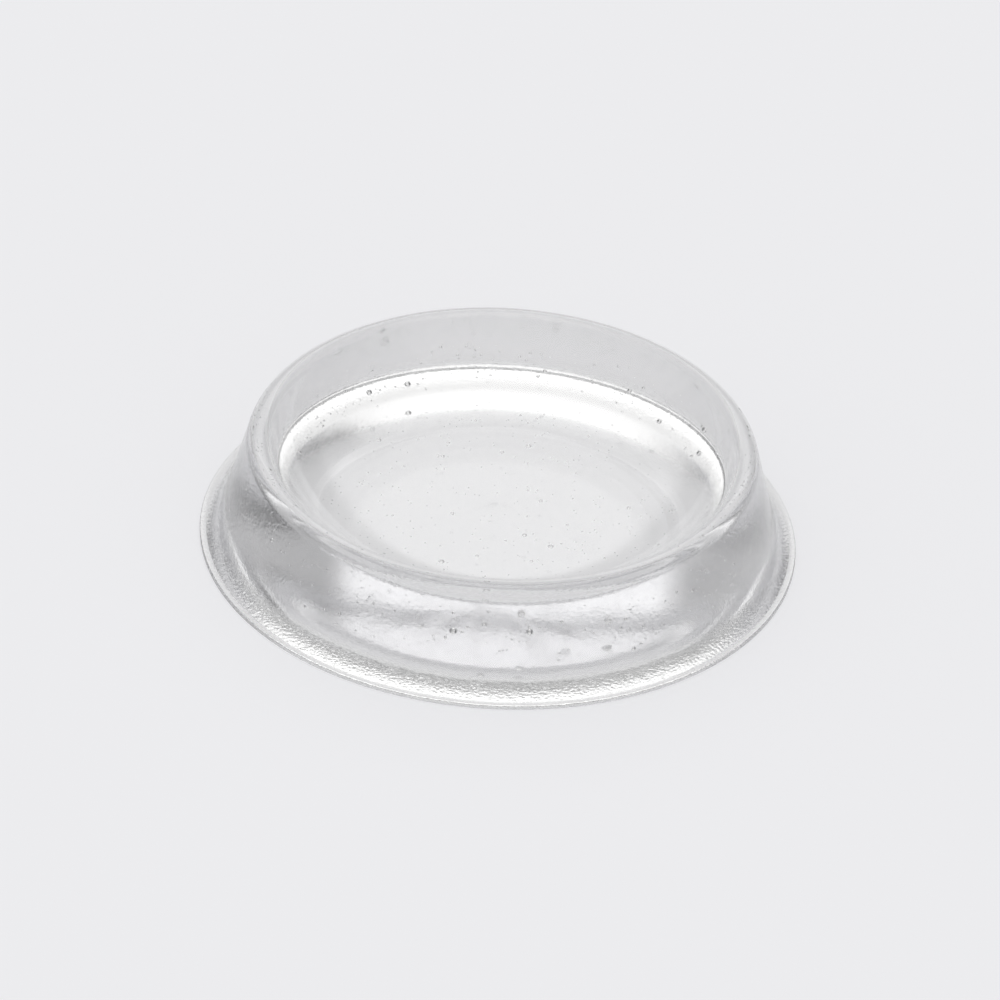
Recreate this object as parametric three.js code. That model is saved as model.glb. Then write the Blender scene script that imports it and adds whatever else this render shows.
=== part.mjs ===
// Clear cabinet door bumper: a round moulded pad with a flared foot, a rounded rim and a dished top.
// One solid of revolution about Z. The origin is the centre of its flat base, +Z up, millimetres.
import * as THREE from 'three';

// Driving dimensions
const footDiameter = 25.4;
const flangeThickness = 0.2;
const flangeWidth = 0.25;
const cutEdgeRound = 0.06;
const flareSlope = THREE.MathUtils.degToRad(40);
const flareRadius = 2.5;
const wallDraft = THREE.MathUtils.degToRad(14);
const overallHeight = 4.9;
const rimRound = 0.6;
const lipRound = 0.5;
const dishDepth = 3;
const dishSlope = THREE.MathUtils.degToRad(64);

// Fineness of the faceted surface
const sidesRound = 96;
const stepsPerCutEdge = 2;
const stepsPerFlare = 6;
const stepsPerRim = 7;
const stepsPerLip = 6;
const stepsPerDish = 10;

// Points on an arc about a centre, from one angle to another, both ends included
function arc(centreX, centreY, radius, fromAngle, toAngle, steps) {
  return Array.from({ length: steps + 1 }, (_, i) => {
    const angle = fromAngle + (toAngle - fromAngle) * (i / steps);
    return new THREE.Vector2(centreX + radius * Math.cos(angle), centreY + radius * Math.sin(angle));
  });
}

// Thin flange round the foot: a flat underside and a cut edge, broken along its top
function flangeEdge() {
  const footRadius = footDiameter / 2;
  const round = Math.min(cutEdgeRound, flangeThickness, flangeWidth);
  return [
    new THREE.Vector2(footRadius, 0),
    ...arc(footRadius - round, flangeThickness - round, round, 0, Math.PI / 2, stepsPerCutEdge),
  ];
}

// Hollow flare: it rises from the flange at a slope and steepens until it is tangent to the wall
const flareCentreRadius = footDiameter / 2 - flangeWidth + flareRadius * Math.sin(flareSlope);
const flareCentreHeight = flangeThickness + flareRadius * Math.cos(flareSlope);
function flare() {
  return arc(
    flareCentreRadius, flareCentreHeight, flareRadius,
    1.5 * Math.PI - flareSlope, Math.PI + wallDraft, stepsPerFlare,
  );
}

// The wall is the straight line that touches both the flare and the rounding of the rim.
// Its draft places the centre of the rim's rounding inside the flare's own centre.
const rimCentreHeight = overallHeight - rimRound;
const wallRun = flareCentreRadius * Math.cos(wallDraft)
  + (flareCentreHeight - rimCentreHeight) * Math.sin(wallDraft);
const crestRadius = (wallRun - flareRadius - rimRound) / Math.cos(wallDraft);
function rim() {
  return arc(crestRadius, rimCentreHeight, rimRound, wallDraft, Math.PI / 2, stepsPerRim);
}

// Dished top: the lip rolls over the crest until it is as steep as the dish's side.
// There one hollow arc takes over, and it ends tangent to the dish's flat floor.
function lipAndDish() {
  const hollowRadius = dishDepth / (1 - Math.cos(dishSlope)) - lipRound;
  const floorRadius = crestRadius - (lipRound + hollowRadius) * Math.sin(dishSlope);
  const floorHeight = overallHeight - dishDepth;
  return [
    ...arc(
      crestRadius, overallHeight - lipRound, lipRound,
      Math.PI / 2, Math.PI / 2 + dishSlope, stepsPerLip,
    ).slice(1),
    ...arc(
      floorRadius, floorHeight + hollowRadius, hollowRadius,
      1.5 * Math.PI + dishSlope, 1.5 * Math.PI, stepsPerDish,
    ).slice(1),
    new THREE.Vector2(0, floorHeight),
  ];
}

// Whole section from the middle of the base round to the middle of the dish
function bumperGeometry() {
  const section = [
    new THREE.Vector2(0, 0),
    ...flangeEdge(),
    ...flare(),
    ...rim(),
    ...lipAndDish(),
  ];
  const turned = new THREE.LatheGeometry(section, sidesRound);
  turned.rotateX(Math.PI / 2);
  return turned;
}

// Clear soft moulded plastic with a faint cool tint
function clearPlastic() {
  return new THREE.MeshStandardMaterial({
    name: 'clear_plastic',
    color: 0xe9ebef,
    roughness: 0.08,
    metalness: 0,
    transparent: true,
    opacity: 0.4,
  });
}

const bumper = new THREE.Mesh(bumperGeometry(), clearPlastic());
bumper.name = 'bumper';

const cabinetDoorBumper = new THREE.Group();
cabinetDoorBumper.add(bumper);

export default cabinetDoorBumper;
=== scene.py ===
"""Clear cabinet door bumper: the fine moulded pad, its clear plastic and a plain studio."""
import math
from collections import namedtuple

import bpy
import numpy as np
from mathutils import Matrix, Vector


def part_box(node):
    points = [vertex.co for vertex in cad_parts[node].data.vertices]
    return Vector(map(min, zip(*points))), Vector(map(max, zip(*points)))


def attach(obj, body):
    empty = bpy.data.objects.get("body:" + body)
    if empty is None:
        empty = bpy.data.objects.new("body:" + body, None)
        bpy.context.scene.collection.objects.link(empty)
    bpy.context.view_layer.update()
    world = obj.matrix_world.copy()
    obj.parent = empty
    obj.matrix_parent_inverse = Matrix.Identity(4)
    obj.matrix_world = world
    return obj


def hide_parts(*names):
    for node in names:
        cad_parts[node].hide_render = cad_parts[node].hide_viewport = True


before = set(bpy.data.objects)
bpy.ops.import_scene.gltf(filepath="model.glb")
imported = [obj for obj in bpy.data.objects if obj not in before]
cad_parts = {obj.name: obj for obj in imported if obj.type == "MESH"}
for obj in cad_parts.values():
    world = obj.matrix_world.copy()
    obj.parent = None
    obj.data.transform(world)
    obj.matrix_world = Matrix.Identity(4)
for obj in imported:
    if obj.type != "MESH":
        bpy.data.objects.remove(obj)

bl_info = {
    "name": "Clear door bumper",
    "version": (1, 0, 0),
    "blender": (4, 5, 0),
    "location": "3D View > Sidebar > Bumper",
    "description": "Makes a clear moulded door bumper and the plain studio that it is shown in",
    "category": "Add Mesh",
}

MM = 0.001
pad_low, pad_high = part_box("bumper")

# Steps along each stretch of the pad's section
BASE_STEPS = 11
EDGE_STEPS = 5
FLARE_STEPS = 30
WALL_STEPS = 14
RIM_STEPS = 24
LIP_STEPS = 20
DISH_STEPS = 40
FLOOR_STEPS = 29

# Slow unevenness of the skin: waves that each have from 2 to 18 lobes round the axis
WAVES = 14
LOBES = (2, 19)
RADIANS_PER_MM = (0.1, 0.7)
WAVE_SPREAD = 1.6
WAVE_SEED = 11
WHOLE_WAVES_FROM = 0.5 * MM

# Where bubbles lie in the thick ring, as shares of the foot's radius and of the overall height,
# and in the base, as shares of the foot's radius and of the base's thickness
RING_REACH = (0.745, 0.83)
RING_HEIGHTS = (0.15, 0.68)
BASE_REACH = 0.62
BASE_HEIGHTS = (0.2, 0.8)
BUBBLE_SEED = 8

# Rings of latitude and sides of the balls that stand for bubbles and for specks
BUBBLE_FINENESS = (6, 10)
SPECK_FINENESS = (3, 6)

# Octaves of finer noise in the skin's two kinds of unevenness
PEEL_DETAIL = 2
GRAIN_DETAIL = 3

MATT_ROUGHNESS = 0.9
NEAREST_SEEN = 0.01
FARTHEST_SEEN = 20

# An even pale room with soft panels in it: azimuth (0 is the camera's side, 90 the right), its
# half width, elevation, its half height, softness of the edges, all in degrees, and what the
# panel adds to the room's brightness. A dark card takes light away.
ROOM = 0.95
SoftPanel = namedtuple("SoftPanel", "name azimuth half_width elevation half_height softness adds")
SOFT_PANELS = (
    SoftPanel("ceiling", 180, 200, 90, 25, 20, 0.6),
    SoftPanel("back_window", 182, 31, 35, 5, 4, 0.7),
    SoftPanel("low_back_shade", 180, 45, 16, 10, 4, -0.6),
    SoftPanel("dark_card_right", 103, 50, 20, 24, 3, -0.3),
    SoftPanel("dark_table_right", 115, 45, 14, 14, 5, -0.4),
    SoftPanel("dark_card_left_back", 243, 25, 20, 26, 4, -0.35),
    SoftPanel("dim_right", 100, 40, 54, 10, 8, -0.2),
)


def length(name, description, default):
    """A property that holds a length in metres."""
    return bpy.props.FloatProperty(
        name=name, description=description, default=default, unit="LENGTH", min=0, precision=5,
    )


def angle(name, description, degrees):
    """A property that holds an angle, written here in degrees."""
    return bpy.props.FloatProperty(
        name=name, description=description, default=math.radians(degrees), unit="ROTATION",
    )


def share(name, description, default):
    """A property that holds a share from 0 to 1."""
    return bpy.props.FloatProperty(
        name=name, description=description, default=default, min=0, max=1, subtype="FACTOR",
    )


def colour(name, description, default):
    """A property that holds a linear colour."""
    return bpy.props.FloatVectorProperty(
        name=name, description=description, default=default, size=3, min=0, max=1, subtype="COLOR",
    )


def count(name, description, default):
    """A property that holds a whole number."""
    return bpy.props.IntProperty(name=name, description=description, default=default, min=0)


class PadShape(bpy.types.PropertyGroup):
    """Sizes of the pad's section and the fineness of its surface."""

    foot_diameter: length("Foot diameter", "Across the thin flange", pad_high.x - pad_low.x)
    overall_height: length("Overall height", "Base to crest of the rim", pad_high.z - pad_low.z)
    flange_thickness: length("Flange thickness", "Thickness of the cut flange", 0.2 * MM)
    flange_width: length("Flange width", "Flange outside the flare", 0.25 * MM)
    cut_edge_round: length("Cut edge round", "Round along the flange's upper edge", 0.06 * MM)
    base_edge_round: length("Base edge round", "Round along the base's sharp edge", 0.03 * MM)
    flare_slope: angle("Flare slope", "Slope at which the flare leaves the flange", 40)
    flare_radius: length("Flare radius", "Hollow curve from flange to wall", 2.5 * MM)
    wall_draft: angle("Wall draft", "Lean of the wall towards the axis", 14)
    rim_round: length("Rim round", "Round outside the crest", 0.6 * MM)
    lip_round: length("Lip round", "Round inside the crest", 0.5 * MM)
    dish_depth: length("Dish depth", "Crest down to the flat floor of the dish", 3 * MM)
    dish_slope: angle("Dish slope", "Steepest slope of the dish's side", 64)
    sides_round: count("Sides round", "Steps round the axis", 288)
    waviness: length("Waviness", "Depth of the slow unevenness left by moulding", 0.006 * MM)
    bubbles: count("Bubbles", "Round bubbles caught in the plastic", 110)
    bubble_size: length("Bubble size", "Radius of the largest bubble", 0.17 * MM)
    specks: count("Specks", "Finest bubbles, seen as specks", 1200)
    speck_size: length("Speck size", "Radius of the largest speck", 0.05 * MM)
    ring_share: share("Ring share", "Share of the bubbles that lie in the thick ring", 0.7)


class PadFinish(bpy.types.PropertyGroup):
    """Look of the clear plastic."""

    tint: colour("Tint", "Colour of light that has passed through", (0.998, 0.998, 0.986))
    refraction: bpy.props.FloatProperty(
        name="Refraction", description="Refractive index of the plastic", default=1.5, min=1, max=2,
    )
    roughness: share("Roughness", "Roughness of the moulded skin", 0.08)
    peel_depth: length("Peel depth", "Depth of the fine unevenness of the skin", 0.002 * MM)
    peel_size: length("Peel size", "Distance between its humps", 0.6 * MM)
    absorption: bpy.props.FloatProperty(
        name="Absorption", description="Light lost along each metre inside", default=20, min=0,
    )
    depth_colour: colour("Depth colour", "Colour that long ways inside turn to", (0.1, 0.1, 0.16))
    grain_depth: length("Grain depth", "Depth of the mottle on the wall and flare", 0.01 * MM)
    grain_size: length("Grain size", "Distance between the mottle's humps", 0.15 * MM)
    grain_from: length("Grain from", "Distance from the axis where the mottle begins", 10.7 * MM)


class StudioLook(bpy.types.PropertyGroup):
    """Floor and camera, and how far light is followed."""

    floor_colour: colour("Floor colour", "Matt share of the pale floor", (0.25, 0.25, 0.253))
    background_colour: colour(
        "Background", "Share of the floor that no shadow darkens", (0.6, 0.6, 0.615),
    )
    bounces: count("Bounces", "How often light may turn inside the clear plastic", 32)
    floor_half: length("Floor half width", "Half the side of the floor", 3.0)
    air_gap: length("Air gap", "Film of air under the pad, not stuck down", 0.02 * MM)
    elevation: angle("Elevation", "Camera's angle above the floor", 34)
    roll: angle("Roll", "Turn of the camera about its own axis", 3.4)
    distance: length("Distance", "Camera to pad", 0.6)
    shown_width: length("Shown width", "Width that fills the picture", 42.5 * MM)
    aim_height: length("Aim height", "Height of the point in the picture's middle", 2.0 * MM)


def arc(centre_r, centre_z, radius, start, stop, steps):
    """Points (r, z) on a circle about (centre_r, centre_z), evenly spaced in angle."""
    turn = np.linspace(start, stop, steps + 1)
    return np.stack([centre_r + radius * np.cos(turn), centre_z + radius * np.sin(turn)], axis=1)


def pad_section(shape):
    """Half section (r, z) from the middle of the base round to the middle of the dish.

    Straight lines and arcs: base, cut flange, hollow flare, drafted wall, rim, lip, hollow side
    of the dish and its flat floor, each tangent to the next from the flare on. The wall is the
    line that touches both the flare and the rim, which places the crest, and the dish's side
    takes over where the lip has become as steep as the dish.
    """
    foot = shape.foot_diameter / 2
    edge = shape.cut_edge_round
    draft = shape.wall_draft
    rim_z = shape.overall_height - shape.rim_round
    flare_r = foot - shape.flange_width + shape.flare_radius * math.sin(shape.flare_slope)
    flare_z = shape.flange_thickness + shape.flare_radius * math.cos(shape.flare_slope)
    wall_run = flare_r * math.cos(draft) + (flare_z - rim_z) * math.sin(draft)
    crest = (wall_run - shape.flare_radius - shape.rim_round) / math.cos(draft)
    slope = shape.dish_slope
    hollow = shape.dish_depth / (1 - math.cos(slope)) - shape.lip_round
    floor_r = crest - (shape.lip_round + hollow) * math.sin(slope)
    floor_z = shape.overall_height - shape.dish_depth

    # The base's last two points lie close to its edge, so the smooth shading bends only there
    corner = shape.base_edge_round
    base_r = np.append(np.linspace(0, foot - 3 * corner, BASE_STEPS + 1), foot - 2 * corner)
    base = np.stack([base_r, np.zeros_like(base_r)], axis=1)
    base_edge = arc(foot - corner, corner, corner, -math.pi / 2, 0, EDGE_STEPS)
    cut_edge = arc(
        foot - edge, shape.flange_thickness - edge, edge, 0, math.pi / 2, EDGE_STEPS,
    )
    flare = arc(
        flare_r, flare_z, shape.flare_radius,
        1.5 * math.pi - shape.flare_slope, math.pi + draft, FLARE_STEPS,
    )
    rim = arc(crest, rim_z, shape.rim_round, draft, math.pi / 2, RIM_STEPS)
    way = np.linspace(0, 1, WALL_STEPS + 1)[1:-1, None]
    wall = flare[-1] + (rim[0] - flare[-1]) * way
    lip = arc(
        crest, shape.overall_height - shape.lip_round, shape.lip_round,
        math.pi / 2, math.pi / 2 + slope, LIP_STEPS,
    )[1:]
    side = arc(
        floor_r, floor_z + hollow, hollow,
        1.5 * math.pi + slope, 1.5 * math.pi, DISH_STEPS,
    )[1:]
    middle_r = np.linspace(floor_r, 0, FLOOR_STEPS + 1)[1:]
    floor = np.stack([middle_r, np.full(FLOOR_STEPS, floor_z)], axis=1)
    return np.concatenate([base, base_edge, cut_edge, flare, wall, rim, lip, side, floor])


def outward(section):
    """Unit normals of the section, turned a quarter from the direction between its neighbours."""
    along = np.gradient(section, axis=0)
    normal = np.stack([along[:, 1], -along[:, 0]], axis=1)
    return normal / np.linalg.norm(normal, axis=1, keepdims=True)


def slow_noise(turn, run):
    """A few slow waves in the angle and in the length along the section, from 0 to 1.

    It is the sum of sin(lobes * angle + rate * length + phase), scaled about a half.
    """
    rng = np.random.default_rng(WAVE_SEED)
    total = np.zeros(np.broadcast(turn, run).shape)
    for _ in range(WAVES):
        lobes = rng.integers(*LOBES)
        per_metre = rng.uniform(*RADIANS_PER_MM) / MM
        total += np.sin(lobes * turn + per_metre * run + rng.uniform(0, 2 * math.pi))
    return np.clip(0.5 + total / (2 * math.sqrt(WAVES) * WAVE_SPREAD), 0, 1)


def turned_surface(section, sides, depth):
    """Vertices and faces of the section carried round Z.

    A point is (r cos a, r sin a, z), pressed inwards along its normal by up to depth, less
    near the base, which stays flat. The two ends on the axis are single points.
    """
    turn = np.arange(sides) * (2 * math.pi / sides)
    ring = section[1:-1]
    step = np.linalg.norm(np.diff(section, axis=0), axis=1)
    run = np.concatenate([[0], np.cumsum(step)])[1:-1]
    lifted = np.clip(ring[:, 1] / WHOLE_WAVES_FROM, 0, 1)
    press = -depth * slow_noise(turn[:, None], run[None, :]) * lifted
    normal = outward(section)[1:-1]
    r = ring[:, 0] + press * normal[:, 0]
    z = ring[:, 1] + press * normal[:, 1]
    grid = np.stack([r * np.cos(turn)[:, None], r * np.sin(turn)[:, None], z], axis=2)
    rows = len(ring)
    ends = np.array([[0, 0, section[0, 1]], [0, 0, z[:, -1].mean()]])
    points = np.concatenate([grid.reshape(-1, 3), ends])
    here = np.arange(sides)[:, None] * rows
    there = np.roll(np.arange(sides), -1)[:, None] * rows
    up = np.arange(rows - 1)[None]
    quads = np.stack([here + up, there + up, there + up + 1, here + up + 1], axis=2)
    base_end = sides * rows
    dish_end = base_end + 1
    base_fan = np.stack([there[:, 0], here[:, 0], np.full(sides, base_end)], axis=1)
    dish_fan = np.stack(
        [here[:, 0] + rows - 1, there[:, 0] + rows - 1, np.full(sides, dish_end)], axis=1,
    )
    return points, quads.reshape(-1, 4), np.concatenate([base_fan, dish_fan])


def small_ball(rings, sides):
    """Points and faces of a unit ball: rings of latitude between two poles.

    A point at tilt t from the pole and turn a is (sin t cos a, sin t sin a, cos t).
    """
    tilt = np.linspace(0, math.pi, rings + 2)[1:-1, None]
    turn = np.arange(sides) * (2 * math.pi / sides)
    across = np.sin(tilt)
    ring = np.stack([across * np.cos(turn), across * np.sin(turn), np.cos(tilt) + 0 * turn], axis=2)
    points = np.concatenate([ring.reshape(-1, 3), [[0, 0, 1], [0, 0, -1]]])
    here = np.arange(sides)
    there = np.roll(here, -1)
    row = np.arange(rings - 1)[:, None] * sides
    quads = np.stack([row + here, row + sides + here, row + sides + there, row + there], axis=2)
    top = rings * sides
    bottom = top + 1
    last = (rings - 1) * sides
    triangles = np.concatenate([
        np.stack([np.full(sides, top), here, there], axis=1),
        np.stack([np.full(sides, bottom), last + there, last + here], axis=1),
    ])
    return points, quads.reshape(-1, 4), triangles


def bubble_places(shape, number, smallest, largest, rng):
    """Centres and radii of bubbles, deep enough in the plastic to stay clear of its skin.

    Most lie in the thick ring between the wall and the side of the dish, the rest in the
    base under the dish. The radius is the smallest plus a share of the rest that falls off
    with the cube of an even draw, so small ones are far more common.
    """
    size = smallest + (largest - smallest) * rng.uniform(0, 1, number) ** 3
    foot = shape.foot_diameter / 2
    under_dish = shape.overall_height - shape.dish_depth
    in_ring = rng.uniform(0, 1, number) < shape.ring_share
    ring_r = foot * rng.uniform(*RING_REACH, number)
    ring_z = rng.uniform(*RING_HEIGHTS, number) * shape.overall_height
    base_r = BASE_REACH * foot * np.sqrt(rng.uniform(0, 1, number))
    base_z = rng.uniform(*BASE_HEIGHTS, number) * under_dish
    r = np.where(in_ring, ring_r, base_r)
    z = np.where(in_ring, ring_z, base_z)
    turn = rng.uniform(0, 2 * math.pi, number)
    return np.stack([r * np.cos(turn), r * np.sin(turn), z], axis=1), size


def add_balls(surface, ball, centres, sizes):
    """The surface with closed round hollows added, whose faces look into them.

    A hollow is its centre plus its radius times the unit ball, with its faces turned over.
    """
    points, quads, triangles = surface
    ball_points, ball_quads, ball_triangles = ball
    moved = centres[:, None] + sizes[:, None, None] * ball_points[None]
    start = len(points) + np.arange(len(centres))[:, None, None] * len(ball_points)
    return (
        np.concatenate([points, moved.reshape(-1, 3)]),
        np.concatenate([quads, (start + ball_quads[None, :, ::-1]).reshape(-1, 4)]),
        np.concatenate([triangles, (start + ball_triangles[None, :, ::-1]).reshape(-1, 3)]),
    )


def pad_surface(shape):
    """The turned skin with round bubbles and many fine specks inside."""
    surface = turned_surface(pad_section(shape), shape.sides_round, shape.waviness)
    rng = np.random.default_rng(BUBBLE_SEED)
    for number, smallest, largest, fineness in (
        (shape.bubbles, shape.speck_size, shape.bubble_size, BUBBLE_FINENESS),
        (shape.specks, shape.speck_size / 2, shape.speck_size, SPECK_FINENESS),
    ):
        places = bubble_places(shape, number, smallest, largest, rng)
        surface = add_balls(surface, small_ball(*fineness), *places)
    return surface


def mesh_object(name, points, quads, triangles):
    """A mesh object at the origin, smooth shaded, from whole arrays of points and faces."""
    mesh = bpy.data.meshes.new(name)
    mesh.from_pydata(points.tolist(), [], quads.tolist() + triangles.tolist())
    mesh.shade_smooth()
    mesh.update()
    made = bpy.data.objects.new(name, mesh)
    bpy.context.scene.collection.objects.link(made)
    return made


def clear_plastic(finish):
    """Clear moulded plastic: refraction, an uneven skin and a little light lost on the way.

    The mottle sets in at a distance from the axis, so the dish and the lip stay glossy and
    the wall, the flare and the flange have the fine grain of the mould.
    """
    material = bpy.data.materials.new("clear_moulded_plastic")
    material.use_nodes = True
    nodes, links = material.node_tree.nodes, material.node_tree.links
    shader = nodes["Principled BSDF"]
    shader.inputs["Base Color"].default_value = (*finish.tint, 1)
    shader.inputs["Transmission Weight"].default_value = 1
    shader.inputs["IOR"].default_value = finish.refraction
    shader.inputs["Roughness"].default_value = finish.roughness
    place = nodes.new("ShaderNodeTexCoord").outputs["Object"]

    def uneven(size, depth, detail, normal=None):
        """A bump from noise with humps of one size, laid over the bump that normal brings."""
        noise = nodes.new("ShaderNodeTexNoise")
        noise.inputs["Scale"].default_value = 1 / size
        noise.inputs["Detail"].default_value = detail
        bump = nodes.new("ShaderNodeBump")
        bump.inputs["Distance"].default_value = depth
        links.new(place, noise.inputs["Vector"])
        links.new(noise.outputs["Fac"], bump.inputs["Height"])
        if normal is not None:
            links.new(normal, bump.inputs["Normal"])
        return bump

    flat = nodes.new("ShaderNodeVectorMath")
    flat.operation = "MULTIPLY"
    flat.inputs[1].default_value = (1, 1, 0)
    radius = nodes.new("ShaderNodeVectorMath")
    radius.operation = "LENGTH"
    outside = nodes.new("ShaderNodeMapRange")
    outside.interpolation_type = "SMOOTHSTEP"
    outside.inputs["From Min"].default_value = finish.grain_from
    outside.inputs["From Max"].default_value = finish.grain_from + finish.grain_size
    links.new(place, flat.inputs[0])
    links.new(flat.outputs["Vector"], radius.inputs[0])
    links.new(radius.outputs["Value"], outside.inputs["Value"])
    peel = uneven(finish.peel_size, finish.peel_depth, PEEL_DETAIL)
    grain = uneven(finish.grain_size, finish.grain_depth, GRAIN_DETAIL, peel.outputs["Normal"])
    links.new(outside.outputs["Result"], grain.inputs["Strength"])
    links.new(grain.outputs["Normal"], shader.inputs["Normal"])
    loss = nodes.new("ShaderNodeVolumeAbsorption")
    loss.inputs["Color"].default_value = (*finish.depth_colour, 1)
    loss.inputs["Density"].default_value = finish.absorption
    links.new(loss.outputs["Volume"], nodes["Material Output"].inputs["Volume"])
    return material


def make_pad(shape, finish):
    """Moulded pad: its section turned round the axis, with bubbles caught inside."""
    pad = mesh_object("clear_pad", *pad_surface(shape))
    pad.data.materials.append(clear_plastic(finish))
    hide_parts("bumper")
    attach(pad, "root")


def pale_floor(look):
    """Matt pale floor, part of it the plain pale background that the camera and clear plastic see.

    The background's share shows to camera, mirror and see-through rays alone, so it lights
    nothing, and the matt share keeps the pad's shadow.
    """
    material = bpy.data.materials.new("pale_floor")
    material.use_nodes = True
    nodes, links = material.node_tree.nodes, material.node_tree.links
    matt = nodes["Principled BSDF"]
    matt.inputs["Base Color"].default_value = (*look.floor_colour, 1)
    matt.inputs["Roughness"].default_value = MATT_ROUGHNESS
    matt.inputs["Specular IOR Level"].default_value = 0
    rays = nodes.new("ShaderNodeLightPath")
    seen = rays.outputs["Is Camera Ray"]
    for kind in ("Is Glossy Ray", "Is Transmission Ray"):
        either = nodes.new("ShaderNodeMath")
        either.operation = "MAXIMUM"
        links.new(seen, either.inputs[0])
        links.new(rays.outputs[kind], either.inputs[1])
        seen = either.outputs[0]
    background = nodes.new("ShaderNodeEmission")
    background.inputs["Color"].default_value = (*look.background_colour, 1)
    links.new(seen, background.inputs["Strength"])
    both = nodes.new("ShaderNodeAddShader")
    links.new(matt.outputs["BSDF"], both.inputs[0])
    links.new(background.outputs["Emission"], both.inputs[1])
    links.new(both.outputs["Shader"], nodes["Material Output"].inputs["Surface"])
    material.cycles.emission_sampling = "NONE"
    return material


def make_floor(look):
    """Plain pale square floor, a film of air below the pad."""
    half = look.floor_half
    z = -look.air_gap
    corners = np.array([[-half, -half, z], [half, -half, z], [half, half, z], [-half, half, z]])
    floor = mesh_object("floor", corners, np.array([[0, 1, 2, 3]]), np.zeros((0, 3), int))
    floor.data.materials.append(pale_floor(look))


def studio_light(scene):
    """World whose brightness depends on direction only: an even room with soft panels.

    A panel's brightness falls off smoothly at its edges in azimuth and in elevation. A
    direction's azimuth from a panel is the arctangent of its part across the panel's
    middle line over its part along that line.
    """
    world = bpy.data.worlds.new("studio")
    world.use_nodes = True
    scene.world = world
    nodes, links = world.node_tree.nodes, world.node_tree.links

    def maths(operation, first, second=None):
        """Result of a Math node, whose inputs are numbers or other nodes' results."""
        node = nodes.new("ShaderNodeMath")
        node.operation = operation
        for socket, value in zip(node.inputs, (first, second)):
            if isinstance(value, (int, float)):
                socket.default_value = value
            elif value is not None:
                links.new(value, socket)
        return node.outputs[0]

    def fade(distance, half, soft):
        """1 well inside half, 0 well outside it, and smooth between."""
        node = nodes.new("ShaderNodeMapRange")
        node.interpolation_type = "SMOOTHERSTEP"
        links.new(distance, node.inputs["Value"])
        node.inputs["From Min"].default_value = half + soft
        node.inputs["From Max"].default_value = half - soft
        return node.outputs["Result"]

    place = nodes.new("ShaderNodeTexCoord")
    axes = nodes.new("ShaderNodeSeparateXYZ")
    links.new(place.outputs["Generated"], axes.inputs[0])
    x, y, z = axes.outputs
    elevation = maths("ARCSINE", z)
    total = ROOM
    for panel in SOFT_PANELS:
        cosine = math.cos(math.radians(panel.azimuth))
        sine = math.sin(math.radians(panel.azimuth))
        soft = math.radians(panel.softness)
        side = maths("ADD", maths("MULTIPLY", x, cosine), maths("MULTIPLY", y, sine))
        ahead = maths("SUBTRACT", maths("MULTIPLY", x, sine), maths("MULTIPLY", y, cosine))
        across = maths("ABSOLUTE", maths("ARCTAN2", side, ahead))
        above = maths("ABSOLUTE", maths("SUBTRACT", elevation, math.radians(panel.elevation)))
        mask = maths(
            "MULTIPLY",
            fade(across, math.radians(panel.half_width), soft),
            fade(above, math.radians(panel.half_height), soft),
        )
        mask.node.label = panel.name
        total = maths("ADD", maths("MULTIPLY", mask, panel.adds), total)
    background = nodes["Background"]
    links.new(maths("MAXIMUM", total, 0), background.inputs["Strength"])
    background.inputs["Color"].default_value = (1, 1, 1, 1)
    world.cycles.sampling_method = "NONE"


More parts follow.
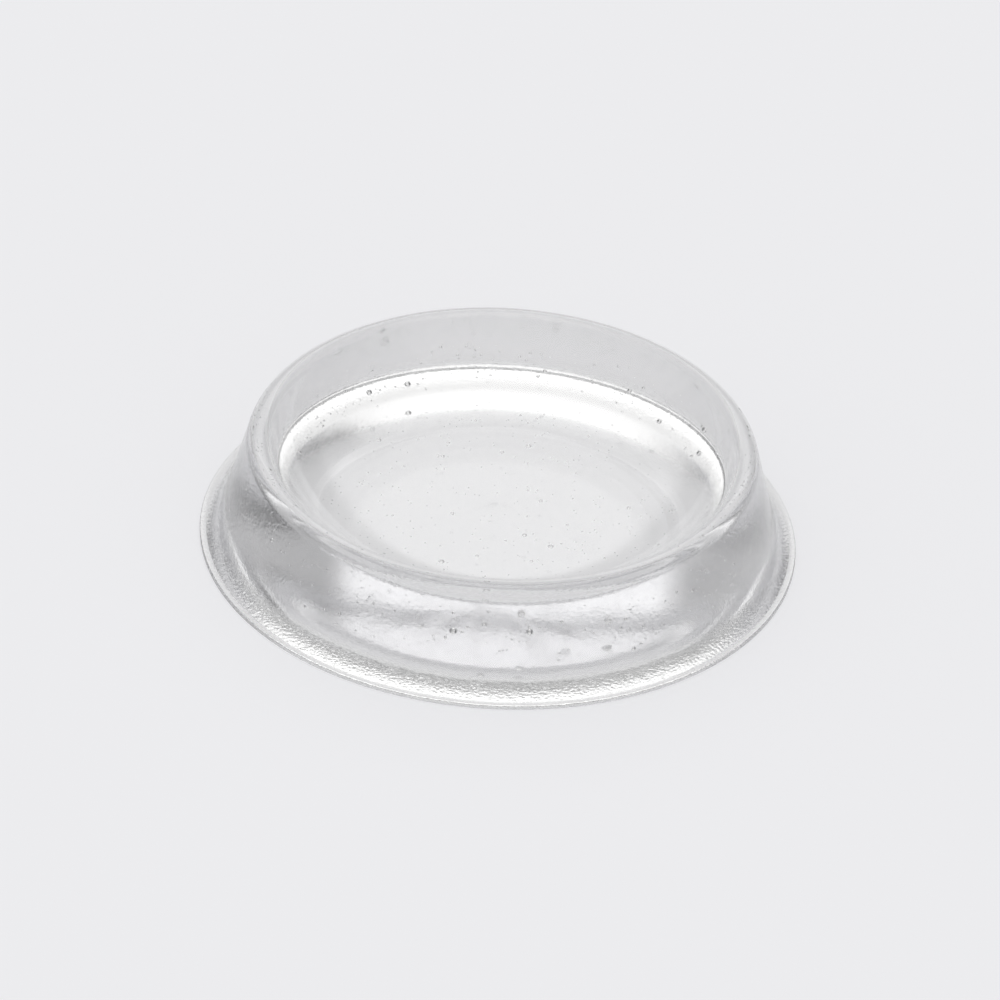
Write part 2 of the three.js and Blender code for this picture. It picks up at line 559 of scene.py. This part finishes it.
def make_camera(scene, look):
    """Long lens at the photograph's angle, the pad in the middle."""
    camera = bpy.data.objects.new("camera", bpy.data.cameras.new("camera"))
    scene.collection.objects.link(camera)
    scene.camera = camera
    target = Vector((0, 0, look.aim_height))
    back = Vector((0, -math.cos(look.elevation), math.sin(look.elevation)))
    camera.location = target + back * look.distance
    facing = (-back).to_track_quat("-Z", "Y").to_matrix()
    camera.rotation_euler = (facing @ Matrix.Rotation(look.roll, 3, "Z")).to_euler()
    camera.data.lens = camera.data.sensor_width * look.distance / look.shown_width
    camera.data.clip_start = NEAREST_SEEN
    camera.data.clip_end = FARTHEST_SEEN


class BUMPER_OT_pad(bpy.types.Operator):
    """Makes the clear moulded pad in the place of the plain solid."""

    bl_idname = "bumper.pad"
    bl_label = "Make the clear pad"

    def execute(self, context):
        make_pad(context.scene.pad_shape, context.scene.pad_finish)
        return {"FINISHED"}


class BUMPER_OT_studio(bpy.types.Operator):
    """Makes the floor, the soft light and the camera."""

    bl_idname = "bumper.studio"
    bl_label = "Make the studio"

    def execute(self, context):
        scene = context.scene
        scene.view_settings.view_transform = "Standard"
        for kind in ("max_bounces", "glossy_bounces", "transmission_bounces"):
            setattr(scene.cycles, kind, scene.studio_look.bounces)
        make_floor(scene.studio_look)
        studio_light(scene)
        make_camera(scene, scene.studio_look)
        return {"FINISHED"}


class BUMPER_PT_sidebar(bpy.types.Panel):
    """Lists the pad's sizes, its finish and the studio."""

    bl_label = "Door bumper"
    bl_space_type = "VIEW_3D"
    bl_region_type = "UI"
    bl_category = "Bumper"

    def draw(self, context):
        scene = context.scene
        for group, operator in (
            (scene.pad_shape, "bumper.pad"),
            (scene.pad_finish, "bumper.pad"),
            (scene.studio_look, "bumper.studio"),
        ):
            box = self.layout.box()
            for name in group.__annotations__:
                box.prop(group, name)
            box.operator(operator)


GROUPS = {"pad_shape": PadShape, "pad_finish": PadFinish, "studio_look": StudioLook}
CLASSES = (*GROUPS.values(), BUMPER_OT_pad, BUMPER_OT_studio, BUMPER_PT_sidebar)


def register():
    """Registers the classes and gives each scene its property groups."""
    for cls in CLASSES:
        bpy.utils.register_class(cls)
    for name, group in GROUPS.items():
        setattr(bpy.types.Scene, name, bpy.props.PointerProperty(type=group))


def unregister():
    """Takes the property groups and the classes away again."""
    for name in GROUPS:
        delattr(bpy.types.Scene, name)
    for cls in reversed(CLASSES):
        bpy.utils.unregister_class(cls)


def main():
    """Makes the studio and the pad."""
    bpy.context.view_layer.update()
    register()
    bpy.ops.bumper.studio()
    bpy.ops.bumper.pad()


if __name__ == "__main__":
    main()
